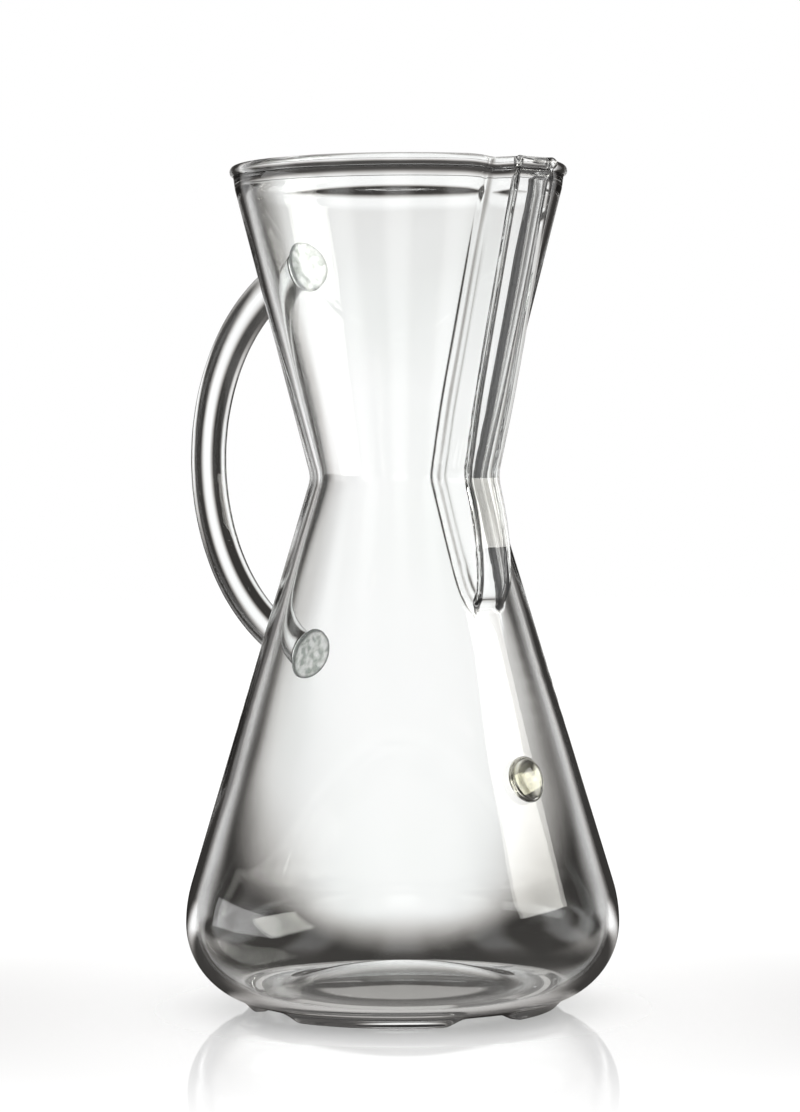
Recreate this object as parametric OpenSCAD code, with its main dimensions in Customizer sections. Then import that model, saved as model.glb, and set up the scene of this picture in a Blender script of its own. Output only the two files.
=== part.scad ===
// Pour-over coffee maker: an hourglass vessel blown in one piece, with a solid glass
// handle and a small level button fused on. Lengths are in millimetres and angles in
// degrees. The origin is the centre of the plane that the feet rest on, +Z is up and
// the pouring channel points along +X.

/* [Vessel] */
// Height from the resting plane to the top of the rim
vessel_h = 210; // [200:1:220]
// Diameter over the round bead at the rim
rim_d = 84.2; // [78:0.2:90]
// Thickness of the round bead at the rim
bead_d = 3; // [2.9:0.1:3.6]
// Outer diameter at the waist
waist_d = 44.8; // [42:0.2:50]
// Height of the waist above the resting plane
waist_z = 132.5; // [126:0.5:140]
// Radius that rounds the waist on the outside
waist_round = 3; // [1.5:0.5:5]
// Largest outer diameter of the flask
belly_d = 108.5; // [102:0.5:116]
// Radius that turns the shoulder into the belly
shoulder_round = 34.7; // [28:0.1:40]
// Radius of the heel between the belly and the base
heel_round = 19.75; // [16:0.25:22]
// Thickness of the blown wall
wall = 2.5; // [2:0.1:2.7]
// Thickness of the flat floor around the punt
floor_t = 3.3; // [2.8:0.1:4.5]
// Diameter of the punt, the dome pushed up in the base
punt_d = 58; // [46:1:62]
// Height of the punt
punt_rise = 5.5; // [3:0.5:9]
// Thickness of the punt
punt_t = 3; // [2.2:0.1:4]

/* [Feet] */
// Height of the four feet under the base
foot_h = 1.6; // [1:0.1:2.5]
// Diameter of the circle that the feet lie on
foot_ring_d = 73.5; // [70:0.5:77]
// Width of the flat that each foot rests on
foot_flat = 2.8; // [2:0.1:4]
// Distance between two feet, measured where they leave the base
foot_gap = 18; // [14:0.5:24]
// Length of the ramp at each end of a foot
foot_ramp = 4; // [2:0.5:6]
// Angle between the channel and the middle of the first foot
foot_turn = 34; // [0:1:89]

/* [Channel] */
// Width of the channel where it leaves the wall
channel_w = 15.4; // [14:0.2:19]
// Distance from the cone out to the channel's outer face
channel_h = 7.6; // [7:0.1:9]
// Lean of the channel's two side walls
side_lean = 9; // [4:1:12]
// Radius of the two outer edges of the channel
edge_round = 3.2; // [3.1:0.1:3.4]
// How far the rim dips at the mouth of the channel
lip_drop = 0.8; // [0:0.1:2]
// Radius of the bend below the waist
bend_round = 70; // [60:1:90]
// Height of that bend
bend_h = 24.5; // [20:0.5:30]
// Radius at which the lower end turns back into the flask
nose_round = 12; // [10:0.5:14]

/* [Handle] */
// Diameter of the solid glass rod
rod_d = 9.4; // [8:0.1:11]
// Radius of the handle's centre line
loop_r = 51.3; // [46:0.1:56]
// Distance from the vessel's axis to the centre of the loop
loop_x = 23.1; // [20:0.1:26]
// Height of the centre of the loop
loop_z = 136.75; // [132:0.25:142]

/* [Weld pads] */
// Diameter of the upper pad where it lies on the wall
upper_pad_d = 13; // [12:0.1:15]
// Diameter of the lower pad where it lies on the wall
lower_pad_d = 13.7; // [12:0.1:15]
// Distance from the wall to the end of the rod
pad_h = 3.4; // [3:0.1:5]
// Thickness of a pad at its edge
pad_edge = 0.8; // [0.5:0.1:1.2]

/* [Level button] */
// Diameter of the button's dome
button_d = 9; // [7:0.1:11]
// Height of the dome above the wall
button_h = 2.2; // [1.8:0.1:3]
// Width of the fillet around the dome
button_skirt = 1.2; // [0.8:0.1:1.5]
// Height of the button's centre above the resting plane
button_z = 59.5; // [50:0.5:70]

/* [Hidden] */
// Overrun that takes each cut past the face it opens
over = 1;
// Depth to which a fused piece is drawn into the wall before it is cut to fit
sink = 2;
// Amount by which a round stands over the lines beside it, so that they cross cleanly
ease = 0.01;
// Depth at which the channel's straight run and its nose lie inside the bend they meet
step = 0.1;
// Steps of a full circle
$fn = 240;

// Points in a half section are [distance from the axis, height]
waist = [waist_d / 2, waist_z];
bead_r = bead_d / 2;
bead_c = [rim_d / 2 - bead_r, vessel_h - bead_r];
heel_c = [belly_d / 2 - heel_round, foot_h + heel_round];
shoulder_c = [belly_d / 2 - shoulder_round, heel_c[1]];
floor_z = foot_h + floor_t;
punt_round = (pow(punt_d / 2, 2) + pow(punt_rise, 2)) / (2 * punt_rise);
punt_c = [0, foot_h + punt_rise - punt_round];

// Lean of the upper cone, so that the bead lies on the middle of the wall
to_bead = bead_c - waist;
cone_a = atan2(to_bead[0], to_bead[1]) + asin(wall / 2 / norm(to_bead));
// Lean of the lower cone, so that it meets the shoulder without a corner
to_waist = waist - shoulder_c;
flask_a = asin(shoulder_round / norm(to_waist)) - atan2(to_waist[0], to_waist[1]);

cone_dir = [sin(cone_a), cos(cone_a)];
flask_dir = [sin(flask_a), -cos(flask_a)];
cone_out = [cos(cone_a), -sin(cone_a)];
flask_out = [cos(flask_a), sin(flask_a)];
waist_miter = [sin(flask_a) + sin(cone_a), cos(cone_a) - cos(flask_a)] / sin(cone_a + flask_a);

// Corner of the waist on the wall's face at depth d
function waist_corner(d) = waist - d * waist_miter;
// Distance along the line from p in direction u to the far crossing with a circle
function reach(p, u, c, r) =
    let (k = (p - c) * u)
    -k + sqrt(k * k - (p - c) * (p - c) + r * r);

// Half section of the body at depth d below its outer face, from height low to high
module body_section(d, low, high) {
    corner = waist_corner(d);
    rim_x = corner[0] + (bead_c[1] - corner[1]) * tan(cone_a);
    round_c = waist_corner(-waist_round);
    round_r = waist_round + d;
    difference() {
        union() {
            polygon(concat(
                [[0, low], [heel_c[0], low], heel_c],
                [shoulder_c + (shoulder_round - d) * flask_out],
                [round_c - round_r * flask_out, round_c, round_c - round_r * cone_out],
                [[rim_x, bead_c[1]]],
                high > bead_c[1] ? [[rim_x, high]] : [],
                [[0, high]]
            ));
            intersection() {
                translate(shoulder_c) circle(shoulder_round - d + ease);
                translate([0, shoulder_c[1]]) square([belly_d, shoulder_round]);
            }
            intersection() {
                translate(heel_c) circle(heel_round - d + ease);
                translate([heel_c[0] - over, low]) square([belly_d, heel_c[1] - low]);
            }
        }
        translate(round_c) circle(round_r + ease);
    }
}

// Solid outer form of the blown body, without the channel
module body_form() {
    rotate(90) rotate_extrude() difference() {
        union() {
            body_section(0, foot_h, bead_c[1]);
            translate(bead_c) circle(bead_r);
        }
        translate(punt_c) circle(punt_round);
    }
}

// Space inside the blown body
module body_core() {
    rotate(90) rotate_extrude() difference() {
        body_section(wall, floor_z, vessel_h + over);
        translate(bead_c) circle(bead_r);
        translate(punt_c) circle(punt_round + punt_t);
    }
}

// The channel runs straight along the cone, bends round bend_c and turns in round nose_c
bend_z = waist_z - bend_h;
bend_a = asin(bend_h / bend_round);
bend_c = [waist[0] + channel_h - bend_round * cos(bend_a), bend_z];
nose_c = bend_c + [bend_round - nose_round, 0];
lip_z = vessel_h - lip_drop;

// Radius of the body's outer face at height z, above or below the waist
function wall_at(z) =
    waist[0] + (z > waist_z ? (z - waist_z) * tan(cone_a) : (waist_z - z) * tan(flask_a));

// Section across the channel at depth d below its outer face, from low to the outer face.
// X points away from the vessel, and the outer face lies at face
module channel_section(d, low, face) {
    edge_r = edge_round - d;
    edge_x = face - edge_round;
    base_x = face - channel_h;
    edge_y = channel_w / 2 - (edge_x - base_x) * tan(side_lean) - edge_round / cos(side_lean);
    low_y = channel_w / 2 - (low - base_x) * tan(side_lean) - d / cos(side_lean);
    side = [edge_x, edge_y] + edge_r * [sin(side_lean), cos(side_lean)];
    for (way = [-1, 1]) translate([edge_x, way * edge_y]) circle(edge_r + ease);
    polygon([
        [low, low_y], side, [edge_x + edge_r, edge_y],
        [edge_x + edge_r, -edge_y], [side[0], -side[1]], [low, -low_y]
    ]);
}

// Channel at depth d, down from height top and reaching deep into the body
module channel(d, top, deep) {
    face = channel_h * cos(cone_a);
    // Straight run above the waist
    intersection() {
        translate([waist[0], 0, waist_z]) rotate([0, cone_a, 0])
            translate([0, 0, -channel_h]) linear_extrude(vessel_h)
                channel_section(d + step, face - channel_h - deep, face);
        translate([0, -channel_w, waist_z]) cube([belly_d, 2 * channel_w, top - waist_z]);
    }
    // Bend below the waist
    intersection() {
        translate([bend_c[0], 0, bend_c[1]]) rotate([90, 0, 0]) rotate_extrude(angle = 2 * bend_a)
            channel_section(d, bend_round - channel_h - deep, bend_round);
        translate([0, -channel_w, bend_z]) cube([belly_d, 2 * channel_w, bend_h]);
    }
    // Nose, which turns back into the flask
    translate([nose_c[0], 0, nose_c[1]]) rotate([90, 0, 0]) rotate(-90) rotate_extrude(angle = 90)
        channel_section(d + step, 0, nose_round);
}

// Four feet: a ring that reaches up into the base, parted by two crossing gaps with sloped ends
module feet() {
    ring_r = foot_ring_d / 2;
    foot_w = foot_flat + 2 * foot_h;
    past_heel = max(0, ring_r + foot_w / 2 - heel_c[0]);
    foot_top = heel_c[1] - sqrt(pow(heel_round, 2) - pow(past_heel, 2)) + wall / 2;
    difference() {
        rotate(90) rotate_extrude() polygon([
            [ring_r - foot_flat / 2, 0], [ring_r + foot_flat / 2, 0],
            [ring_r + foot_w / 2, foot_h], [ring_r + foot_w / 2, foot_top],
            [ring_r - foot_w / 2, foot_top], [ring_r - foot_w / 2, foot_h]
        ]);
        for (a = [45, 135]) rotate([90, 0, a + foot_turn])
            translate([0, 0, -foot_ring_d]) linear_extrude(2 * foot_ring_d)
                polygon([
                    [-foot_gap / 2 - foot_ramp, -over], [foot_gap / 2 + foot_ramp, -over],
                    [foot_gap / 2 + foot_ramp, 0], [foot_gap / 2, foot_h],
                    [-foot_gap / 2, foot_h], [-foot_gap / 2 - foot_ramp, 0]
                ]);
    }
}

// Blown vessel: funnel, waist and flask with the channel, the punt and the feet
module vessel() {
    color("lightcyan", 0.4) difference() {
        union() {
            channel(0, lip_z, wall);
            body_form();
            feet();
        }
        body_core();
        channel(wall, vessel_h + over, 2 * wall);
    }
}

// Where the handle's centre line meets the wall, as [distance from the axis, height]
loop_c = [loop_x, loop_z];
upper_end = waist + reach(waist, cone_dir, loop_c, loop_r) * cone_dir;
lower_end = waist + reach(waist, flask_dir, loop_c, loop_r) * flask_dir;
upper_a = atan2(upper_end[1] - loop_z, upper_end[0] - loop_x);
lower_a = atan2(lower_end[1] - loop_z, lower_end[0] - loop_x);
// Angle along the loop that a pad takes up
pad_a = pad_h / loop_r * 180 / PI;

// Places children on the side opposite the channel, turned by angle a round the loop
module on_loop(a) {
    translate([-loop_x, 0, loop_z]) rotate([0, a - 180, 0]) children();
}

// Solid rod bent to an arc, ending square on the two weld pads
module handle() {
    color("lightcyan", 0.5) on_loop(0) rotate([-90, 0, 0]) rotate(lower_a + pad_a)
        rotate_extrude(angle = upper_a - lower_a - 2 * pad_a)
            translate([loop_r, 0]) circle(d = rod_d, $fn = 48);
}

// Pad of diameter d with a fillet up to the rod, on the wall where the loop's angle is a.
// way is 1 at the upper end of the rod and -1 at the lower end
module weld_pad(d, a, way) {
    fillet = (d - rod_d) / 2;
    difference() {
        on_loop(a - way * pad_a) translate([loop_r, 0, 0])
            rotate([way > 0 ? 180 : 0, 0, 0]) rotate_extrude($fn = 48) difference() {
                polygon([
                    [0, 0], [rod_d / 2, 0], [rod_d / 2 + fillet, 0],
                    [d / 2, pad_h + sink], [0, pad_h + sink]
                ]);
                translate([d / 2, pad_h - pad_edge - fillet]) circle(fillet);
                translate([rod_d / 2, -over])
                    square([d, over + pad_h - pad_edge - fillet]);
            }
        body_form();
    }
}

module upper_weld_pad() {
    color("silver", 0.7) weld_pad(upper_pad_d, upper_a, 1);
}

module lower_weld_pad() {
    color("gainsboro", 0.7) weld_pad(lower_pad_d, lower_a, -1);
}

// Domed button on the flask below the channel, which marks the level to fill to
module level_button() {
    dome_r = button_d / 2;
    dome_rise = button_h - button_skirt / 2;
    dome_round = (dome_r * dome_r + dome_rise * dome_rise) / (2 * dome_rise);
    color("lightcyan", 0.6) difference() {
        translate([wall_at(button_z), 0, button_z]) rotate([0, 90 - flask_a, 0])
            rotate_extrude($fn = 64) {
                intersection() {
                    translate([0, button_h - dome_round]) circle(dome_round);
                    translate([0, -sink]) square([dome_r, sink + button_h]);
                }
                difference() {
                    translate([0, -sink]) square([dome_r + button_skirt, sink + button_skirt]);
                    translate([dome_r + button_skirt, button_skirt]) circle(button_skirt);
                }
            }
        body_form();
    }
}

vessel();
handle();
upper_weld_pad();
lower_weld_pad();
level_button();
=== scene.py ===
"""Looks of the glass pour-over coffee maker, built over its CAD frame.

Every length is in metres and every piece lies in the frame of the CAD model: the vessel
stands on z = 0, its axis is the Z axis and the pouring channel points along +X.
"""

import logging
import math
from abc import ABC, abstractmethod
from dataclasses import dataclass, field
from enum import Enum

import bmesh
import bpy
from mathutils import Matrix, Vector, noise


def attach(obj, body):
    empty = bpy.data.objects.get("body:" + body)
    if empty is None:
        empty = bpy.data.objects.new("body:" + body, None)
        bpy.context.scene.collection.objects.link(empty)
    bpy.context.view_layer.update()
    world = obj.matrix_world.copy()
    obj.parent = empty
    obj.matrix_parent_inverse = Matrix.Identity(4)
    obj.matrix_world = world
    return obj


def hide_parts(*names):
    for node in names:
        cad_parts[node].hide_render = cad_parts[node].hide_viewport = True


log = logging.getLogger("coffee_maker")

MM = 0.001
GLASS_IOR = 1.47
FLOOR_IOR = 1.5
WHITE = (1, 1, 1, 1)
WARM_GREY = (1.0, 0.94, 0.89, 1)
# Dark grey painted on the edges of the weld pads as shade.
PAINTED_EDGE_SHADE = (0.16, 0.17, 0.165, 1)


class Slot(Enum):
    """Material slots of the record."""

    BLOWN = "blown_glass"
    ROD = "rod_glass"
    FUSED = "fused_glass"


class Way(Enum):
    """Side of the handle's loop on which a weld pad lies."""

    UPPER = 1
    LOWER = -1


# Small helpers


def smooth_max(a: float, b: float, k: float) -> float:
    """Larger of two lengths, with the corner between them rounded over a length.

    Args:
        a: First length.
        b: Second length.
        k: Difference between them at which the rounding starts.

    Returns:
        The rounded maximum.
    """
    h = max(0.0, 1.0 - abs(a - b) / k)
    return max(a, b) + h * h * k / 4


def smooth_min(a: float, b: float, k: float) -> float:
    """Smaller of two lengths, rounded as smooth_max rounds the larger."""
    return -smooth_max(-a, -b, k)


def smooth_step(x: float, low: float, high: float) -> float:
    """Ramp from 0 at low to 1 at high, flat at both ends."""
    t = min(1.0, max(0.0, (x - low) / (high - low)))
    return t * t * (3 - 2 * t)


def spread(low: float, high: float, count: int) -> list[float]:
    """Evenly spaced values from low to high, both included."""
    return [low + (high - low) * i / (count - 1) for i in range(count)]


def arc(centre: Vector, radius: float, start: float, end: float, count: int) -> list[Vector]:
    """Points along an arc in the half section.

    Args:
        centre: Centre as (distance from the axis, height).
        radius: Radius of the arc.
        start: First angle in degrees, from the outward direction towards up.
        end: Last angle in degrees.
        count: Number of points.

    Returns:
        The points in order.
    """
    return [
        centre + radius * Vector((math.cos(math.radians(a)), math.sin(math.radians(a))))
        for a in spread(start, end, count)
    ]


def far_reach(p: Vector, u: Vector, c: Vector, r: float) -> float:
    """Distance along the line from p in direction u to its far crossing with a circle."""
    k = (p - c).dot(u)
    return -k + math.sqrt(k * k - (p - c).length_squared + r * r)


# Sizes and outlines


@dataclass(frozen=True)
class Body:
    """Half section of the blown body."""

    height: float = 210 * MM
    rim_r: float = 42.1 * MM
    bead_r: float = 1.5 * MM
    waist_r: float = 22.4 * MM
    waist_z: float = 132.5 * MM
    waist_round: float = 3.0 * MM
    belly_r: float = 54.23 * MM
    shoulder_round: float = 34.7 * MM
    heel_round: float = 19.75 * MM
    wall: float = 2.5 * MM
    floor_t: float = 3.3 * MM
    foot_h: float = 1.6 * MM
    punt_r: float = 29.0 * MM
    punt_rise: float = 5.5 * MM
    punt_t: float = 3.0 * MM

    @property
    def waist(self) -> Vector:
        """Sharp corner of the waist on the outer face."""
        return Vector((self.waist_r, self.waist_z))

    @property
    def bead_c(self) -> Vector:
        """Centre of the bead's section."""
        return Vector((self.rim_r - self.bead_r, self.height - self.bead_r))

    @property
    def heel_c(self) -> Vector:
        """Centre of the heel's arc."""
        return Vector((self.belly_r - self.heel_round, self.foot_h + self.heel_round))

    @property
    def shoulder_c(self) -> Vector:
        """Centre of the shoulder's arc."""
        return Vector((self.belly_r - self.shoulder_round, self.heel_c.y))

    @property
    def cone_a(self) -> float:
        """Lean of the funnel's wall from upright."""
        to_bead = self.bead_c - self.waist
        lift = math.asin(self.wall / 2 / to_bead.length)
        return math.atan2(to_bead.x, to_bead.y) + lift

    @property
    def flask_a(self) -> float:
        """Lean of the flask's wall from upright."""
        to_waist = self.waist - self.shoulder_c
        lift = math.asin(self.shoulder_round / to_waist.length)
        return lift - math.atan2(to_waist.x, to_waist.y)

    def radius(self, z: float) -> float:
        """Outer radius at a height between the heel's arc and the rim.

        Args:
            z: Height above the resting plane.

        Returns:
            The radius of the plain body, without the channel.
        """
        upper = self.waist_r + (z - self.waist_z) * math.tan(self.cone_a)
        lower = self.waist_r + (self.waist_z - z) * math.tan(self.flask_a)
        cone = smooth_max(upper, lower, 0.3 * self.waist_round)
        arc_z = z - self.shoulder_c.y
        tangent_z = self.shoulder_round * math.sin(self.flask_a)
        if arc_z >= tangent_z:
            return cone
        return self.shoulder_c.x + math.sqrt(self.shoulder_round**2 - arc_z**2)


@dataclass(frozen=True)
class Channel:
    """Pouring channel pressed out of the front of the body."""

    body: Body
    top_w: float = 8.1 * MM
    low_w: float = 7.2 * MM
    proud: float = 7.6 * MM
    lean: float = math.radians(9)
    corner: float = 5.0 * MM
    fold: float = 0.9 * MM
    bend_round: float = 70 * MM
    bend_h: float = 24.5 * MM
    turn: float = 1.6 * MM
    nose_round: float = 12 * MM
    lip_drop: float = 0.8 * MM

    @property
    def bend_z(self) -> float:
        """Height at which the bend hands over to the nose."""
        return self.body.waist_z - self.bend_h

    @property
    def bend_x(self) -> float:
        """Distance of the bend's centre from the axis, negative behind it."""
        reach = math.sqrt(self.bend_round**2 - self.bend_h**2)
        return self.body.waist_r + self.proud - reach

    def face(self, z: float) -> float:
        """Distance of the channel's outer face from the axis at a height.

        Args:
            z: Height above the resting plane.

        Returns:
            The distance on the straight run, the bend or the nose.
        """
        cone = self.body.waist_r + self.proud
        cone += (z - self.body.waist_z) * math.tan(self.body.cone_a)
        drop = z - self.bend_z
        if drop >= 0:
            bend = self.bend_x + math.sqrt(max(0.0, self.bend_round**2 - drop**2))
            return smooth_max(cone, bend, self.turn)
        nose_x = self.bend_x + self.bend_round - self.nose_round
        return nose_x + math.sqrt(max(0.0, self.nose_round**2 - drop**2))

    def radius(self, angle: float, z: float) -> float:
        """Radius of the channel's outer face in a direction from the axis.

        Args:
            angle: Direction round the axis, 0 at the middle of the channel.
            z: Height above the resting plane.

        Returns:
            The distance from the axis, below the body's radius where there is no channel.
        """
        side = abs(angle)
        if side > math.radians(55) or z < self.bend_z - self.nose_round:
            return 0.0
        upper = smooth_step(z, self.body.waist_z - 6 * MM, self.body.waist_z + 22 * MM)
        base_w = self.low_w + (self.top_w - self.low_w) * upper
        drop = max(0.0, self.bend_z - z) / self.nose_round
        base_w -= 2.6 * MM * drop * drop
        face_x = self.face(z)
        tan_lean = math.tan(self.lean)
        face_w = base_w - self.proud * tan_lean
        flat = face_x / math.cos(side)
        wall = (face_w + face_x * tan_lean) / (math.sin(side) + tan_lean * math.cos(side))
        return smooth_min(flat, wall, self.corner)


@dataclass(frozen=True)
class Skin:
    """Outer face of body and channel together, and the faces at a depth below it."""

    body: Body
    channel: Channel

    def radius(self, angle: float, z: float) -> float:
        """Outer radius in a direction and at a height, with the channel."""
        plain = self.body.radius(z)
        return smooth_max(plain, self.channel.radius(angle, z), self.channel.fold)

    def outer(self, angle: float, z: float) -> Vector:
        """Point of the outer face in a direction and at a height."""
        r = self.radius(angle, z)
        return Vector((r * math.cos(angle), r * math.sin(angle), z))

    def point(self, angle: float, z: float, depth: float) -> Vector:
        """Point at a depth below the outer face, measured square to it.

        Args:
            angle: Direction round the axis.
            z: Height of the outer point.
            depth: Depth into the wall, negative for a point proud of it.

        Returns:
            The point.
        """
        at = self.outer(angle, z)
        if depth == 0:
            return at
        round_step, up_step = 0.003, 0.08 * MM
        across = self.outer(angle + round_step, z) - self.outer(angle - round_step, z)
        up = self.outer(angle, z + up_step) - self.outer(angle, z - up_step)
        normal = across.cross(up).normalized()
        return at - depth * normal


@dataclass(frozen=True)
class Loop:
    """Arc of the handle's rod, opposite the channel."""

    body: Body
    rod_r: float = 4.7 * MM
    round_r: float = 51.3 * MM
    centre_r: float = 23.1 * MM
    centre_z: float = 136.75 * MM
    pad_h: float = 3.4 * MM

    def end_angle(self, way: Way) -> float:
        """Angle round the loop at which its middle line meets the wall.

        Args:
            way: Which end of the rod.

        Returns:
            The angle from outward, positive towards up.
        """
        centre = Vector((self.centre_r, self.centre_z))
        lean = self.body.cone_a if way is Way.UPPER else self.body.flask_a
        along = Vector((math.sin(lean), way.value * math.cos(lean)))
        at = self.body.waist + far_reach(self.body.waist, along, centre, self.round_r) * along
        return math.atan2(at.y - self.centre_z, at.x - self.centre_r)

    def place(self, angle: float) -> Matrix:
        """Frame on the loop, with X away from its centre and Z along it, upward.

        Args:
            angle: Angle round the loop, from outward towards up.

        Returns:
            The matrix that moves a part there.
        """
        out = Vector((-math.cos(angle), 0, math.sin(angle)))
        along = Vector((math.sin(angle), 0, math.cos(angle)))
        side = along.cross(out)
        at = Vector((-self.centre_r, 0, self.centre_z)) + self.round_r * out
        return Matrix(
            (
                (out.x, side.x, along.x, at.x),
                (out.y, side.y, along.y, at.y),
                (out.z, side.z, along.z, at.z),
                (0, 0, 0, 1),
            )
        )


# Materials


class Nodes:
    """Short way to add and link nodes in one tree."""

    def __init__(self, tree: bpy.types.NodeTree) -> None:
        """Keeps the tree."""
        self.tree = tree

    def add(self, kind: str, inputs: dict | None = None, **settings) -> bpy.types.Node:
        """Adds a node, sets its properties and fills or links its inputs.

        Args:
            kind: Node type.
            inputs: Socket name or number to a value or an output socket.
            **settings: Properties of the node.

        Returns:
            The node.
        """
        node = self.tree.nodes.new(kind)
        for name, value in settings.items():
            setattr(node, name, value)
        for name, value in (inputs or {}).items():
            if isinstance(value, bpy.types.NodeSocket):
                self.tree.links.new(value, node.inputs[name])
            else:
                node.inputs[name].default_value = value
        return node

    def math(self, operation: str, *values) -> bpy.types.NodeSocket:
        """Adds one sum of values or sockets and returns its result."""
        node = self.add("ShaderNodeMath", dict(enumerate(values)), operation=operation)
        return node.outputs[0]

    def mix(self, share: object, first: object, second: object) -> bpy.types.NodeSocket:
        """Adds a blend of two values and returns its result."""
        return self.add("ShaderNodeMix", {0: share, 2: first, 3: second}).outputs[0]

    def mix_colour(self, share: object, first: object, second: object) -> bpy.types.NodeSocket:
        """Adds a blend of two colours and returns its result."""
        return self.add(
            "ShaderNodeMix", {0: share, 6: first, 7: second}, data_type="RGBA"
        ).outputs[2]

    def ramp(
        self,
        value: bpy.types.NodeSocket,
        span: tuple[float, float],
        start: float = 0.0,
        end: float = 1.0,
        soft: bool = True,
    ) -> bpy.types.NodeSocket:
        """Adds a ramp that stays level outside its span.

        Args:
            value: Value that drives the ramp.
            span: Values at which the ramp starts and ends.
            start: Result up to the start.
            end: Result from the end on.
            soft: Whether the ramp eases in and out.

        Returns:
            The result.
        """
        return self.add(
            "ShaderNodeMapRange",
            {
                "Value": value,
                "From Min": span[0],
                "From Max": span[1],
                "To Min": start,
                "To Max": end,
            },
            interpolation_type="SMOOTHSTEP" if soft else "LINEAR",
        ).outputs[0]

    def studio_light(self, shaded: object, plain: float, matt: float) -> bpy.types.NodeSocket:
        """Chooses the studio's light for each kind of ray, warmer where it is dark.

        Args:
            shaded: Brightness for rays that come off or through the glass.
            plain: Brightness for the camera's own rays.
            matt: Brightness for rays that light a matt surface.

        Returns:
            The colour of the light.
        """
        path = self.add("ShaderNodeLightPath").outputs
        lit = self.math("MINIMUM", path["Diffuse Depth"], 1.0)
        level = self.mix(path["Is Camera Ray"], self.mix(lit, shaded, matt), plain)
        tint = self.mix_colour(level, WARM_GREY, WHITE)
        return self.add(
            "ShaderNodeVectorMath", {0: tint, "Scale": level}, operation="SCALE"
        ).outputs[0]


@dataclass(frozen=True)
class GlassFinish:
    """Look of one kind of glass in the object."""

    name: str
    slot: Slot
    tint: tuple[float, float, float]
    deep_tint: tuple[float, float, float]
    roughness: float
    ripple: float
    ripple_scale: float
    grain: float
    grain_scale: float
    stretch: tuple[float, float, float] = (1.0, 1.0, 1.0)
    clear: float = 1.0

    def material(self, surface: bpy.types.NodeTree) -> bpy.types.Material:
        """Builds the material.

        Args:
            surface: Node group that gives the ripples, shared by all the glass.

        Returns:
            The material.
        """
        made = bpy.data.materials.new(self.name)
        made.use_nodes = True
        tree = made.node_tree
        tree.nodes.clear()
        nodes = Nodes(tree)
        coords = nodes.add("ShaderNodeTexCoord").outputs["Object"]
        ripples = nodes.add(
            "ShaderNodeGroup",
            {
                "Position": coords,
                "Stretch": self.stretch,
                "Ripple": self.ripple,
                "Ripple Scale": self.ripple_scale,
                "Grain": self.grain,
                "Grain Scale": self.grain_scale,
            },
            node_tree=surface,
        )
        colour = nodes.mix_colour(
            ripples.outputs["Cloud"], (*self.tint, 1), (*self.deep_tint, 1)
        )
        # Painted shade: where the rim mask is set, at the edges of the weld pads, the base colour
        # turns dark grey.
        rim = nodes.add("ShaderNodeAttribute", attribute_name="rim").outputs["Fac"]
        shader = nodes.add(
            "ShaderNodeBsdfPrincipled",
            {
                "Base Color": nodes.mix_colour(rim, colour, PAINTED_EDGE_SHADE),
                "Roughness": self.roughness,
                "Metallic": 0.0,
                "IOR": GLASS_IOR,
                "Transmission Weight": self.clear,
                "Normal": ripples.outputs["Normal"],
            },
        )
        nodes.add("ShaderNodeOutputMaterial", {"Surface": shader.outputs[0]})
        return made


def glass_surface() -> bpy.types.NodeTree:
    """Node group for the slight unevenness of glass shaped by hand.

    Returns:
        The group, which puts out a normal and a cloudy mask.
    """
    group = bpy.data.node_groups.new("glass_surface", "ShaderNodeTree")
    for name, kind in (
        ("Position", "NodeSocketVector"),
        ("Stretch", "NodeSocketVector"),
        ("Ripple", "NodeSocketFloat"),
        ("Ripple Scale", "NodeSocketFloat"),
        ("Grain", "NodeSocketFloat"),
        ("Grain Scale", "NodeSocketFloat"),
    ):
        group.interface.new_socket(name, in_out="INPUT", socket_type=kind)
    group.interface.new_socket("Normal", in_out="OUTPUT", socket_type="NodeSocketVector")
    group.interface.new_socket("Cloud", in_out="OUTPUT", socket_type="NodeSocketFloat")
    nodes = Nodes(group)
    given = nodes.add("NodeGroupInput").outputs
    place = nodes.add(
        "ShaderNodeVectorMath",
        {0: given["Position"], 1: given["Stretch"]},
        operation="MULTIPLY",
    ).outputs[0]
    ripple = nodes.add(
        "ShaderNodeTexNoise",
        {"Vector": place, "Scale": given["Ripple Scale"], "Detail": 1.0, "Roughness": 0.4},
    ).outputs[0]
    grain = nodes.add(
        "ShaderNodeTexNoise",
        {"Vector": place, "Scale": given["Grain Scale"], "Detail": 2.0, "Roughness": 0.5},
    ).outputs[0]
    low = nodes.math("MULTIPLY", ripple, given["Ripple"])
    fine = nodes.math("MULTIPLY", grain, given["Grain"])
    height = nodes.math("ADD", low, fine)
    bump = nodes.add(
        "ShaderNodeBump",
        {"Strength": 1.0, "Distance": 1.0, "Height": height},
    )
    cloud = nodes.ramp(ripple, (0.42, 0.62), soft=False)
    nodes.add(
        "NodeGroupOutput",
        {"Normal": bump.outputs[0], "Cloud": cloud},
    )
    return group


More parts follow.
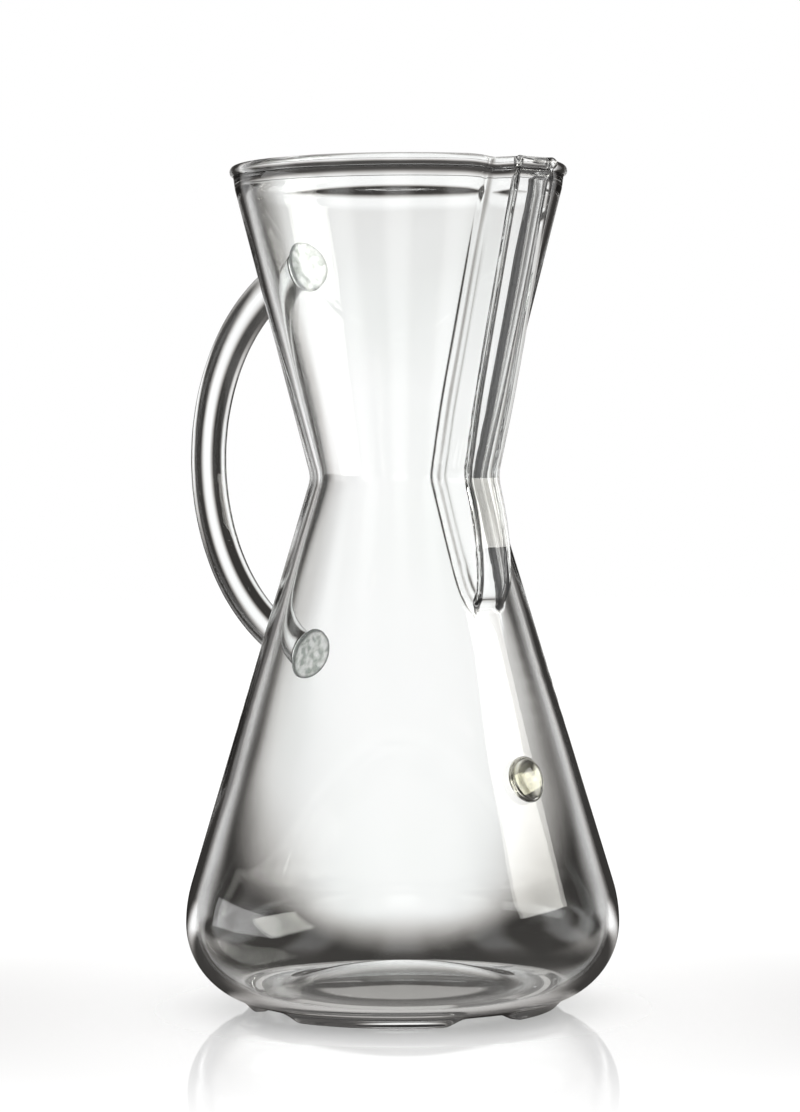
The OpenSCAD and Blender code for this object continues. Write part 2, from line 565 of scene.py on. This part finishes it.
@dataclass(frozen=True)
class Finishes:
    """The finishes of the object."""

    blown: GlassFinish = GlassFinish(
        "blown_glass",
        Slot.BLOWN,
        tint=(0.992, 0.996, 0.994),
        deep_tint=(0.972, 0.982, 0.975),
        roughness=0.0,
        ripple=0.16 * MM,
        ripple_scale=34.0,
        grain=0.0025 * MM,
        grain_scale=420.0,
        stretch=(1.0, 1.0, 0.55),
    )
    rod: GlassFinish = GlassFinish(
        "rod_glass",
        Slot.ROD,
        tint=(0.985, 0.992, 0.99),
        deep_tint=(0.955, 0.972, 0.968),
        roughness=0.0,
        ripple=0.05 * MM,
        ripple_scale=60.0,
        grain=0.002 * MM,
        grain_scale=500.0,
    )
    fused: GlassFinish = GlassFinish(
        "fused_glass",
        Slot.FUSED,
        tint=(0.96, 0.96, 0.95),
        deep_tint=(0.52, 0.55, 0.52),
        roughness=0.16,
        ripple=1.3 * MM,
        ripple_scale=520.0,
        grain=0.015 * MM,
        grain_scale=1300.0,
        clear=0.2,
    )
    button: GlassFinish = GlassFinish(
        "button_glass",
        Slot.FUSED,
        tint=(0.97, 0.965, 0.90),
        deep_tint=(0.90, 0.89, 0.76),
        roughness=0.02,
        ripple=0.12 * MM,
        ripple_scale=180.0,
        grain=0.004 * MM,
        grain_scale=900.0,
    )

    def materials(self) -> dict[str, bpy.types.Material]:
        """Builds every finish as a material, by its name."""
        surface = glass_surface()
        every = (self.blown, self.rod, self.fused, self.button)
        return {finish.name: finish.material(surface) for finish in every}


# Pieces


@dataclass
class Piece(ABC):
    """One visible piece, which stands for one CAD node."""

    name: str
    node: str
    finish: GlassFinish
    materials: dict[str, bpy.types.Material]

    @abstractmethod
    def shape(self, bm: bmesh.types.BMesh) -> None:
        """Fills an empty mesh with the piece, in its place."""

    def make(self) -> bpy.types.Object:
        """Builds the object, gives it its finish and puts it in the frame.

        Returns:
            The new object.
        """
        bm = bmesh.new()
        self.shape(bm)
        bmesh.ops.remove_doubles(bm, verts=bm.verts, dist=1e-7)
        bmesh.ops.recalc_face_normals(bm, faces=bm.faces)
        for face in bm.faces:
            face.smooth = True
        mesh = bpy.data.meshes.new(self.name)
        bm.to_mesh(mesh)
        bm.free()
        mesh.materials.append(self.materials[self.finish.name])
        made = bpy.data.objects.new(self.name, mesh)
        bpy.context.scene.collection.objects.link(made)
        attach(made, "root")
        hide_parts(self.node)
        log.info("%s: %d faces", self.name, len(mesh.polygons))
        return made


@dataclass
class Vessel(Piece):
    """Blown body with the pouring channel, in one piece of glass."""

    skin: Skin = field(kw_only=True)
    columns: int = field(default=256, kw_only=True)
    dense_share: float = field(default=0.36, kw_only=True)
    dense_w: float = field(default=12.5 * MM, kw_only=True)
    fold_ridge: float = field(default=0.5 * MM, kw_only=True)
    fold_reach: float = field(default=1.1 * MM, kw_only=True)
    uneven: float = field(default=0.14 * MM, kw_only=True)
    gather_low: float = field(default=62 * MM, kw_only=True)
    gather_high: float = field(default=94 * MM, kw_only=True)
    foot_turn: float = field(default=34.0, kw_only=True)
    foot_flat: float = field(default=28.0, kw_only=True)
    foot_end: float = field(default=36.5, kw_only=True)
    foot_ring_r: float = field(default=36.75 * MM, kw_only=True)
    foot_half_w: float = field(default=1.4 * MM, kw_only=True)
    foot_edge: float = field(default=0.5 * MM, kw_only=True)

    def heights(self) -> list[float]:
        """Heights of the rows on the wall, close together where it turns.

        Returns:
            Heights from just above the shoulder to just below the bead.
        """
        body, channel = self.skin.body, self.skin.channel
        start = body.shoulder_c.y + body.shoulder_round * math.sin(body.flask_a)
        nose_low = channel.bend_z - 0.72 * channel.nose_round
        steps = (
            (start, nose_low, 16),
            (nose_low, channel.bend_z + 1 * MM, 16),
            (channel.bend_z + 1 * MM, body.waist_z - 3 * MM, 9),
            (body.waist_z - 3 * MM, body.waist_z + 3 * MM, 19),
            (body.waist_z + 3 * MM, body.height - 6 * MM, 24),
        )
        rows = [z for low, high, count in steps for z in spread(low, high, count)[:-1]]
        return rows + [body.height - 6 * MM]

    def rim_rows(self) -> list[tuple[float, float]]:
        """Rows over the bead, from the outer face of the wall to its inner face.

        Returns:
            Pairs of the height on the outer face and the depth below it.
        """
        body = self.skin.body
        lean = body.cone_a
        tip = body.height - body.bead_r
        rows = []
        for a in spread(-68, 248, 20):
            turn = math.radians(a)
            r = body.bead_c.x + body.bead_r * math.cos(turn)
            z = tip + body.bead_r * math.sin(turn)
            off = r - (body.waist_r + (z - body.waist_z) * math.tan(lean))
            rows.append((z + off * math.sin(lean) * math.cos(lean), -off * math.cos(lean)))
        return rows

    def base_outer(self) -> list[Vector]:
        """Half section of the underside, heel and shoulder.

        Returns:
            Points from the axis outward and up to the straight wall.
        """
        body = self.skin.body
        punt, centre = self.punt()
        edge = math.degrees(math.asin(body.punt_r / punt))
        flat = spread(body.punt_r + 0.4 * MM, body.heel_c.x - 0.3 * MM, 14)
        return (
            arc(centre, punt, 90, 90 - edge, 12)
            + [Vector((r, body.foot_h)) for r in flat]
            + arc(body.heel_c, body.heel_round, -90, -72, 17)
            + arc(body.heel_c, body.heel_round, -69, 0, 20)
            + arc(body.shoulder_c, body.shoulder_round, 2, math.degrees(body.flask_a), 8)
        )

    def base_inner(self) -> list[Vector]:
        """Half section of the inside below the shoulder.

        Returns:
            Points from the straight wall down and in to the axis.
        """
        body = self.skin.body
        inner_heel = body.heel_round - body.wall
        inner_shoulder = body.shoulder_round - body.wall
        floor = body.foot_h + body.floor_t
        punt, centre = self.punt()
        low = -math.degrees(math.asin((body.heel_c.y - floor) / inner_heel))
        edge = body.heel_c.x + inner_heel * math.cos(math.radians(low))
        rows = []
        for r in spread(edge - 0.4 * MM, 0, 30):
            dome = centre.y + math.sqrt((punt + body.punt_t) ** 2 - r * r)
            rows.append(Vector((r, smooth_max(floor, dome, 1.2 * MM))))
        return (
            arc(body.shoulder_c, inner_shoulder, math.degrees(body.flask_a), 2, 8)
            + arc(body.heel_c, inner_heel, 0, low, 22)
            + rows
        )

    def punt(self) -> tuple[float, Vector]:
        """Radius and centre of the arc that the base is pushed up to."""
        body = self.skin.body
        punt = (body.punt_r**2 + body.punt_rise**2) / (2 * body.punt_rise)
        return punt, Vector((0, body.foot_h + body.punt_rise - punt))

    def shape(self, bm: bmesh.types.BMesh) -> None:
        """Spins the half section, then moves each point to its place on the skin.

        Args:
            bm: Empty mesh to fill.
        """
        z_layer = bm.verts.layers.float.new("height")
        depth_layer = bm.verts.layers.float.new("depth")
        rows = self.heights()
        section: list[tuple[Vector, float, float]] = []
        section += [(p, -1.0, 0.0) for p in self.base_outer()[:-1]]
        section += [(Vector((0.1 + 0.1 * z, z)), z, 0.0) for z in rows]
        section += [(Vector((0.2 + 0.01 * i, z)), z, d) for i, (z, d) in enumerate(self.rim_rows())]
        wall = self.skin.body.wall
        section += [(Vector((0.05 + 0.1 * z, z)), z, wall) for z in reversed(rows)]
        section += [(p, -1.0, wall) for p in self.base_inner()[1:]]
        chain = []
        for point, z, depth in section:
            vert = bm.verts.new((point.x, 0, point.y))
            vert[z_layer] = z
            vert[depth_layer] = depth
            chain.append(vert)
        edges = [bm.edges.new(pair) for pair in zip(chain, chain[1:])]
        bmesh.ops.spin(
            bm,
            geom=chain + edges,
            cent=(0, 0, 0),
            axis=(0, 0, 1),
            dvec=(0, 0, 0),
            angle=math.tau,
            steps=self.columns,
            use_merge=True,
        )
        for vert in bm.verts:
            angle = math.atan2(vert.co.y, vert.co.x)
            z, depth = vert[z_layer], vert[depth_layer]
            if z < 0:
                radius = math.hypot(vert.co.x, vert.co.y)
                vert.co = self.base_point(angle, radius, vert.co.z)
            else:
                turned = self.column(angle, z)
                vert.co = self.skin.point(turned, z, self.uneven_depth(turned, z, depth))
                vert.co.z -= self.lip_dip(vert.co)

    def column(self, angle: float, z: float) -> float:
        """Direction of a column of points, which gather on the channel near it.

        Args:
            angle: Direction of the column in the plain spin.
            z: Height of the row.

        Returns:
            The direction of its point in this row.
        """
        body, channel = self.skin.body, self.skin.channel
        share = abs(angle) / math.pi
        mid = body.radius(z) + channel.proud / 3
        edge = math.asin(self.dense_w / mid)
        if share < self.dense_share:
            turned = math.asin(self.dense_w * share / self.dense_share / mid)
        else:
            rest = (share - self.dense_share) / (1 - self.dense_share)
            ease = 0.35 * rest + 0.65 * rest * (2 * rest - rest * rest)
            turned = edge + (math.pi - edge) * ease
        near = smooth_step(z, self.gather_low, self.gather_high)
        return math.copysign(turned * near + abs(angle) * (1 - near), angle)

    def uneven_depth(self, angle: float, z: float, depth: float) -> float:
        """Depth of the inner face, with waves and more glass along the channel's folds.

        Args:
            angle: Direction round the axis.
            z: Height of the outer point.
            depth: Plain depth below the outer face.

        Returns:
            The depth, changed only inside the plain wall.
        """
        if depth < self.skin.body.wall * 0.9 or z > self.skin.body.height - 8 * MM:
            return depth
        fade = smooth_step(z, 42 * MM, 60 * MM)
        fade *= 1 - smooth_step(z, 185 * MM, 200 * MM)
        at = Vector((math.cos(angle) * 2.2, math.sin(angle) * 2.2, z / (26 * MM)))
        off = (self.skin.channel.radius(angle, z) - self.skin.body.radius(z)) / self.fold_reach
        ridge = self.fold_ridge * fade * math.exp(-off * off)
        return depth + self.uneven * fade * noise.noise(at) + ridge

    def lip_dip(self, at: Vector) -> float:
        """Drop of the rim at the mouth of the channel."""
        body, channel = self.skin.body, self.skin.channel
        side = 1 - smooth_step(abs(at.y), 3 * MM, 13 * MM) if at.x > 0 else 0.0
        return channel.lip_drop * side * smooth_step(at.z, body.height - 16 * MM, body.height)

    def base_point(self, angle: float, radius: float, z: float) -> Vector:
        """Point of the underside or of the inside of the base, with the feet.

        Args:
            angle: Direction round the axis.
            radius: Distance from the axis.
            z: Height in the plain half section.

        Returns:
            The point.
        """
        body = self.skin.body
        if z < body.foot_h + 1.0 * MM and radius > body.punt_r:
            off = abs((math.degrees(angle) - self.foot_turn + 45) % 90 - 45)
            ramp = 1 - smooth_step(off, self.foot_flat, self.foot_end)
            flank = abs(radius - self.foot_ring_r) - self.foot_half_w
            z = z - ramp * max(0.0, z - smooth_max(flank, 0.0, self.foot_edge))
        return Vector((radius * math.cos(angle), radius * math.sin(angle), z))


@dataclass
class Handle(Piece):
    """Solid glass rod bent to a loop, which flares a little to its weld pads."""

    loop: Loop = field(kw_only=True)
    steps: int = field(default=120, kw_only=True)

    def shape(self, bm: bmesh.types.BMesh) -> None:
        """Spins a disc round the loop's centre and flares both ends.

        Args:
            bm: Empty mesh to fill.
        """
        loop = self.loop
        pad = loop.pad_h / loop.round_r
        low = loop.end_angle(Way.LOWER) + pad
        high = loop.end_angle(Way.UPPER) - pad
        start = loop.place(low)
        disc = bmesh.ops.create_circle(
            bm, cap_ends=True, cap_tris=False, radius=loop.rod_r, segments=40, matrix=start
        )
        faces = [f for f in bm.faces if set(f.verts) <= set(disc["verts"])]
        centre = Vector((-loop.centre_r, 0, loop.centre_z))
        bmesh.ops.spin(
            bm,
            geom=disc["verts"] + list(bm.edges) + faces,
            cent=centre,
            axis=(0, 1, 0),
            dvec=(0, 0, 0),
            angle=high - low,
            steps=self.steps,
            use_merge=False,
        )
        for vert in bm.verts:
            offset = vert.co - centre
            angle = math.atan2(offset.z, -offset.x)
            middle = centre + loop.round_r * Vector((-math.cos(angle), 0, math.sin(angle)))
            near = min(angle - low, high - angle) * loop.round_r
            flare = 1 + 0.07 * (1 - smooth_step(near, 0, 5 * MM))
            wave = 1 - 0.012 * abs(noise.noise(Vector((angle * 7, 0, 0))))
            vert.co = middle + (vert.co - middle) * flare * wave


@dataclass
class WeldPad(Piece):
    """Pad of fused glass between the rod and the wall, with rings from the flame and painted shade:
    a dark grey outline round its edge.
    """

    loop: Loop = field(kw_only=True)
    way: Way = field(kw_only=True)
    radius: float = field(kw_only=True)
    gap: float = field(default=0.04 * MM, kw_only=True)
    ripple: float = field(default=0.10 * MM, kw_only=True)
    inset: float = field(default=0.04 * MM, kw_only=True)

    def profile(self) -> list[Vector]:
        """Half section of the pad.

        Returns:
            Points from its top at the rod down to the wall.
        """
        rod, top = self.loop.rod_r * 1.07, self.loop.pad_h - self.gap
        rows = [Vector((rod * t, top)) for t in (0, 0.35, 0.7, 0.9)]
        for t in spread(0, 1, 12):
            turn = t * math.pi / 2
            out = rod + (self.radius - rod) * (1 - math.cos(turn))
            down = top - (top - 1.0 * MM) * math.sin(turn)
            rows.append(Vector((out, down)))
        rows += [Vector((self.radius, 0.6 * MM)), Vector((self.radius - 0.12 * MM, 0.3 * MM))]
        rows += [Vector((self.radius * t, 0)) for t in (0.97, 0.85, 0.65, 0.45, 0.2, 0)]
        return rows

    def shape(self, bm: bmesh.types.BMesh) -> None:
        """Spins the half section, ripples it and lays its foot on the wall.

        Args:
            bm: Empty mesh to fill.
        """
        rim = bm.verts.layers.float.new("rim")
        chain = [bm.verts.new((p.x, 0, p.y)) for p in self.profile()]
        edges = [bm.edges.new(pair) for pair in zip(chain, chain[1:])]
        bmesh.ops.spin(
            bm,
            geom=chain + edges,
            cent=(0, 0, 0),
            axis=(0, 0, 1),
            dvec=(0, 0, 0),
            angle=math.tau,
            steps=56,
            use_merge=True,
        )
        place = self.loop.place(self.loop.end_angle(self.way))
        if self.way is Way.UPPER:
            place = place @ Matrix.Rotation(math.pi, 4, "X")
        axis = (place.to_3x3() @ Vector((0, 0, 1))).normalized()
        body = self.loop.body
        high = self.loop.pad_h - self.gap
        for vert in bm.verts:
            rise = vert.co.z
            # Mask of the painted shade: 1 near the pad's edge, where the base colour turns dark
            # grey.
            vert[rim] = smooth_step(math.hypot(vert.co.x, vert.co.y) / self.radius, 0.86, 0.95)
            share = min(1.0, max(0.0, rise / self.loop.pad_h))
            angle = math.atan2(vert.co.y, vert.co.x)
            seed = Vector((3 * math.cos(angle), 3 * math.sin(angle), rise * 900))
            dent = min(0.0, self.ripple * noise.noise(seed) - self.inset)
            shrink = 1 + dent / self.radius * (1 - share)
            x, y = vert.co.x * shrink, vert.co.y * shrink
            at = place @ Vector((x, y, 0))
            for _ in range(12):
                wall = body.radius(at.z) + self.gap
                lean = body.cone_a if self.way is Way.UPPER else -body.flask_a
                out = Vector((at.x, at.y, 0)).normalized()
                normal = (out * math.cos(lean) - Vector((0, 0, math.sin(lean)))).normalized()
                off = (math.hypot(at.x, at.y) - wall) * math.cos(lean)
                at -= axis * (off / normal.dot(axis))
            vert.co = at.lerp(place @ Vector((x, y, high)), rise / high)


@dataclass
class LevelButton(Piece):
    """Small dome fused to the flask below the channel."""

    body: Body = field(kw_only=True)
    radius: float = field(default=4.5 * MM, kw_only=True)
    rise: float = field(default=2.2 * MM, kw_only=True)
    skirt: float = field(default=1.2 * MM, kw_only=True)
    centre_z: float = field(default=59.5 * MM, kw_only=True)
    gap: float = field(default=0.04 * MM, kw_only=True)

    def shape(self, bm: bmesh.types.BMesh) -> None:
        """Spins a dome with a soft skirt and lays it on the flask's wall.

        Args:
            bm: Empty mesh to fill.
        """
        reach = self.radius + self.skirt
        rows = []
        for t in spread(0, 1, 26):
            r = reach * t
            dome = max(0.0, 1 - (r / (reach * 0.92)) ** 2) ** 0.62
            rows.append(Vector((r, self.gap + 0.02 * MM + (self.rise - 0.1 * MM) * dome)))
        rows += [Vector((reach * t, 0)) for t in (1.0, 0.8, 0.6, 0.4, 0.2, 0)]
        chain = [bm.verts.new((p.x, 0, p.y)) for p in rows]
        edges = [bm.edges.new(pair) for pair in zip(chain, chain[1:])]
        bmesh.ops.spin(
            bm,
            geom=chain + edges,
            cent=(0, 0, 0),
            axis=(0, 0, 1),
            dvec=(0, 0, 0),
            angle=math.tau,
            steps=64,
            use_merge=True,
        )
        lean = self.body.flask_a
        turn = Matrix.Rotation(math.pi / 2 - lean, 3, "Y")
        for vert in bm.verts:
            rise = vert.co.z
            flat = turn @ Vector((vert.co.x, vert.co.y, 0))
            z = self.centre_z + flat.z
            wall = self.body.radius(z) + self.gap
            y = flat.y
            x = math.sqrt(wall * wall - y * y)
            normal = Vector((x / wall * math.cos(lean), y / wall * math.cos(lean), math.sin(lean)))
            vert.co = Vector((x, y, z)) + normal * rise


# Studio


@dataclass(frozen=True)
class Softbox:
    """Area light, placed by its direction from the object."""

    name: str
    azimuth: float
    height: float
    distance: float
    size: tuple[float, float]
    power: float
    colour: tuple[float, float, float] = (1.0, 1.0, 1.0)
    in_glass: bool = True

    def add(self) -> None:
        """Adds the light, aimed at the middle of the object."""
        lamp = bpy.data.lights.new(self.name, "AREA")
        lamp.shape = "RECTANGLE"
        lamp.size, lamp.size_y = self.size
        lamp.energy = self.power
        lamp.color = self.colour
        made = bpy.data.objects.new(self.name, lamp)
        a = math.radians(self.azimuth)
        made.location = (self.distance * math.sin(a), -self.distance * math.cos(a), self.height)
        aim = Vector((0, 0, 0.11)) - made.location
        made.rotation_euler = aim.to_track_quat("-Z", "Y").to_euler()
        made.visible_camera = False
        made.visible_glossy = made.visible_transmission = self.in_glass
        bpy.context.scene.collection.objects.link(made)


@dataclass
class Studio:
    """White studio: floor, a ring of soft panels, softboxes and camera."""

    azimuth: float = 47.0
    distance: float = 0.889
    camera_z: float = 0.13675
    lens: float = 115.1
    roll: float = math.radians(0.33)
    drop_px: float = 556 - 460
    focal_px: float = 3556
    ring_r: float = 2.6
    ring_h: float = 1.9
    panels: int = 8
    panel_span: tuple[float, float] = (0.3, 1.0)
    rise_span: tuple[float, float] = (0.08, 0.42)
    rise_end: float = 0.1
    dark: float = 0.04
    peak: float = 1.06
    near: float = 0.05
    near_span: tuple[float, float] = (0.06, 0.20)
    sky: float = 0.05
    sky_span: tuple[float, float] = (0.22, 0.5)
    under: float = 0.4
    spot_r: float = 0.019
    ring_in: float = 0.037
    ring_out: float = 0.043
    ring_soft: float = 0.004
    steep: float = 0.6
    steep_span: tuple[float, float] = (0.2, 0.6)
    matt: float = 2.6
    floor_grey: float = 0.44
    floor_white: float = 1.1
    fade_span: tuple[float, float] = (0.0, 0.11)
    mirror: float = 0.8
    mirror_span: tuple[float, float] = (0.08, 0.20)
    mirror_rough: float = 0.03

    def glow_group(self) -> bpy.types.NodeTree:
        """Node group for how bright the studio is in each direction.

        Returns:
            The group, bright towards eight panels and dark between them.
        """
        group = bpy.data.node_groups.new("studio_glow", "ShaderNodeTree")
        group.interface.new_socket("Position", in_out="INPUT", socket_type="NodeSocketVector")
        group.interface.new_socket("Glow", in_out="OUTPUT", socket_type="NodeSocketFloat")
        nodes = Nodes(group)
        given = nodes.add("NodeGroupInput").outputs["Position"]
        x, y, z = nodes.add("ShaderNodeSeparateXYZ", {0: given}).outputs
        angle = nodes.math("ARCTAN2", y, x)
        middle = math.radians(self.azimuth - 90)
        turn = nodes.math("MULTIPLY", nodes.math("SUBTRACT", angle, middle), float(self.panels))
        wave = nodes.math("MULTIPLY_ADD", nodes.math("COSINE", turn), 0.4999, 0.5)
        panel = nodes.ramp(wave, self.panel_span)
        square = nodes.math("ADD", nodes.math("MULTIPLY", x, x), nodes.math("MULTIPLY", y, y))
        length = nodes.math("SQRT", square)
        slope = nodes.math("DIVIDE", z, nodes.math("MAXIMUM", length, 0.001))
        rise = nodes.ramp(slope, self.rise_span, 1.0, self.rise_end, soft=False)
        bright = nodes.math("MULTIPLY", panel, rise)
        glow = nodes.math("MULTIPLY_ADD", bright, self.peak, self.dark)
        spot, inside, outside = (
            nodes.ramp(length, (edge, edge + self.ring_soft))
            for edge in (self.spot_r, self.ring_in, self.ring_out)
        )
        shares = (
            (nodes.ramp(length, self.near_span, 1.0, 0.0), self.near),
            (nodes.ramp(slope, self.sky_span), self.sky),
            (
                nodes.math(
                    "SUBTRACT",
                    nodes.math("ADD", inside, 1.0),
                    nodes.math("ADD", outside, spot),
                ),
                self.under,
            ),
        )
        for share, level in shares:
            glow = nodes.mix(share, glow, level)
        nodes.add("NodeGroupOutput", {"Glow": glow})
        return group

    def ring_material(self, glow: bpy.types.NodeTree) -> bpy.types.Material:
        """Backdrop that is plain white to the camera and shaded to the glass.

        Args:
            glow: Node group for the brightness in each direction.

        Returns:
            The material.
        """
        made = bpy.data.materials.new("backdrop_white")
        made.use_nodes = True
        made.node_tree.nodes.clear()
        nodes = Nodes(made.node_tree)
        coords = nodes.add("ShaderNodeTexCoord").outputs["Object"]
        level = nodes.add("ShaderNodeGroup", {"Position": coords}, node_tree=glow).outputs[0]
        value = nodes.studio_light(level, 1.0, self.matt)
        lamp = nodes.add("ShaderNodeEmission", {"Color": value, "Strength": 1.0})
        nodes.add("ShaderNodeOutputMaterial", {"Surface": lamp.outputs[0]})
        return made

    def floor_material(self, glow: bpy.types.NodeTree) -> bpy.types.Material:
        """Glossy white floor that fades to the backdrop away from the object.

        Args:
            glow: Node group for the brightness in each direction.

        Returns:
            The material.
        """
        made = bpy.data.materials.new("white_floor")
        made.use_nodes = True
        made.node_tree.nodes.clear()
        nodes = Nodes(made.node_tree)
        coords = nodes.add("ShaderNodeTexCoord").outputs["Object"]
        away = nodes.add("ShaderNodeVectorMath", {0: coords}, operation="LENGTH").outputs["Value"]
        fade = nodes.ramp(away, self.fade_span)
        mirror = nodes.ramp(away, self.mirror_span, self.mirror, 0.0)
        glance = nodes.add("ShaderNodeFresnel", {"IOR": FLOOR_IOR}).outputs[0]
        grey = (self.floor_grey, self.floor_grey, self.floor_grey, 1)
        matt = nodes.add("ShaderNodeBsdfDiffuse", {"Color": grey})
        gloss = nodes.add(
            "ShaderNodeBsdfAnisotropic", {"Color": WHITE, "Roughness": self.mirror_rough}
        )
        level = nodes.add("ShaderNodeGroup", {"Position": coords}, node_tree=glow).outputs[0]
        facing = nodes.add("ShaderNodeLayerWeight", {"Blend": 0.5}).outputs["Facing"]
        level = nodes.mix(nodes.ramp(facing, self.steep_span, 1.0, 0.0), level, self.steep)
        seen = nodes.add("ShaderNodeLightPath").outputs["Is Camera Ray"]
        light = nodes.studio_light(level, self.floor_white, self.matt)
        lamp = nodes.add("ShaderNodeEmission", {"Color": light, "Strength": 1.0})
        share = nodes.math("MAXIMUM", fade, nodes.math("SUBTRACT", 1.0, seen))
        ground = nodes.add(
            "ShaderNodeMixShader", {0: share, 1: matt.outputs[0], 2: lamp.outputs[0]}
        )
        mixed = nodes.add(
            "ShaderNodeMixShader",
            {
                0: nodes.math("MULTIPLY", nodes.math("MULTIPLY", seen, mirror), glance),
                1: ground.outputs[0],
                2: gloss.outputs[0],
            },
        )
        nodes.add("ShaderNodeOutputMaterial", {"Surface": mixed.outputs[0]})
        return made

    def stage_piece(self, name: str, bm: bmesh.types.BMesh, finish: bpy.types.Material) -> None:
        """Puts a finished mesh in the scene as part of the stage.

        Args:
            name: Name of the object and its mesh.
            bm: Mesh to take over and free.
            finish: Material of the whole piece.
        """
        mesh = bpy.data.meshes.new(name)
        bm.to_mesh(mesh)
        bm.free()
        mesh.materials.append(finish)
        made = bpy.data.objects.new(name, mesh)
        bpy.context.scene.collection.objects.link(made)

    def add_floor(self, glow: bpy.types.NodeTree) -> None:
        """Adds the floor, a disc that reaches the ring."""
        bm = bmesh.new()
        bmesh.ops.create_circle(bm, cap_ends=True, radius=self.ring_r, segments=96)
        self.stage_piece("floor", bm, self.floor_material(glow))

    def add_ring(self, glow: bpy.types.NodeTree) -> None:
        """Adds the backdrop, an upright ring round the object and the camera.

        Args:
            glow: Node group for the brightness in each direction.
        """
        bm = bmesh.new()
        ring = bmesh.ops.create_circle(bm, cap_ends=False, radius=self.ring_r, segments=96)
        edges = {edge for vert in ring["verts"] for edge in vert.link_edges}
        top = bmesh.ops.extrude_edge_only(bm, edges=list(edges))["geom"]
        raised = [item for item in top if isinstance(item, bmesh.types.BMVert)]
        bmesh.ops.translate(bm, verts=raised, vec=(0, 0, self.ring_h))
        self.stage_piece("backdrop", bm, self.ring_material(glow))

    def add_world(self) -> None:
        """White for the camera, dark grey for the light that the glass bends aside."""
        world = bpy.data.worlds.new("studio")
        bpy.context.scene.world = world
        world.use_nodes = True
        world.node_tree.nodes.clear()
        nodes = Nodes(world.node_tree)
        level = nodes.studio_light(self.sky, 1.0, self.matt)
        back = nodes.add("ShaderNodeBackground", {"Color": level, "Strength": 1.0})
        nodes.add("ShaderNodeOutputWorld", {"Surface": back.outputs[0]})

    def add_camera(self) -> None:
        """Adds the camera at the photograph's place."""
        lens = bpy.data.cameras.new("camera")
        lens.sensor_width = 36
        lens.lens = self.lens
        made = bpy.data.objects.new("camera", lens)
        a = math.radians(self.azimuth)
        made.location = (
            self.distance * math.sin(a),
            -self.distance * math.cos(a),
            self.camera_z,
        )
        pitch = math.atan(self.drop_px / self.focal_px)
        made.rotation_euler = (math.pi / 2 - pitch, self.roll, a)
        bpy.context.scene.collection.objects.link(made)
        bpy.context.scene.camera = made

    def build(self) -> None:
        """Adds everything round the object."""
        glow = self.glow_group()
        self.add_floor(glow)
        self.add_ring(glow)
        self.add_world()
        warm = (1.0, 0.985, 0.93)
        for light in (
            Softbox("low_left", self.azimuth - 88, 0.045, 0.34, (0.30, 0.08), 0.13),
            Softbox("fill_right", self.azimuth + 82, 0.76, 1.6, (1.0, 0.92), 14, warm),
            Softbox("top", self.azimuth, 1.9, 0.2, (1.6, 1.6), 16, in_glass=False),
        ):
            light.add()
        self.add_camera()
        bpy.context.scene.view_settings.view_transform = "Standard"


def main() -> None:
    """Builds the object over its frame, then the studio round it."""
    logging.basicConfig(level=logging.INFO, format="%(name)s %(message)s")
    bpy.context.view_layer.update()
    body = Body()
    skin = Skin(body, Channel(body))
    loop = Loop(body)
    finishes = Finishes()
    materials = finishes.materials()
    pieces: list[Piece] = [
        Vessel("vessel_glass", "vessel", finishes.blown, materials, skin=skin),
        Handle("handle_rod", "handle", finishes.rod, materials, loop=loop),
        WeldPad(
            "upper_pad", "upper_weld_pad", finishes.fused, materials,
            loop=loop, way=Way.UPPER, radius=6.5 * MM,
        ),
        WeldPad(
            "lower_pad", "lower_weld_pad", finishes.fused, materials,
            loop=loop, way=Way.LOWER, radius=6.85 * MM,
        ),
        LevelButton("level_dome", "level_button", finishes.button, materials, body=body),
    ]
    for piece in pieces:
        piece.make()
    Studio().build()


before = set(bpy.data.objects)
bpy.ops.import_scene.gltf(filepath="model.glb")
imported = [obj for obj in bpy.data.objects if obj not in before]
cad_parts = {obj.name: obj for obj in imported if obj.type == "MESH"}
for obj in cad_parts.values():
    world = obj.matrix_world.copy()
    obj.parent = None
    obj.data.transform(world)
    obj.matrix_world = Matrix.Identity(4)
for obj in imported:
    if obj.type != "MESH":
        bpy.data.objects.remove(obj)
if __name__ == "__main__":
    main()
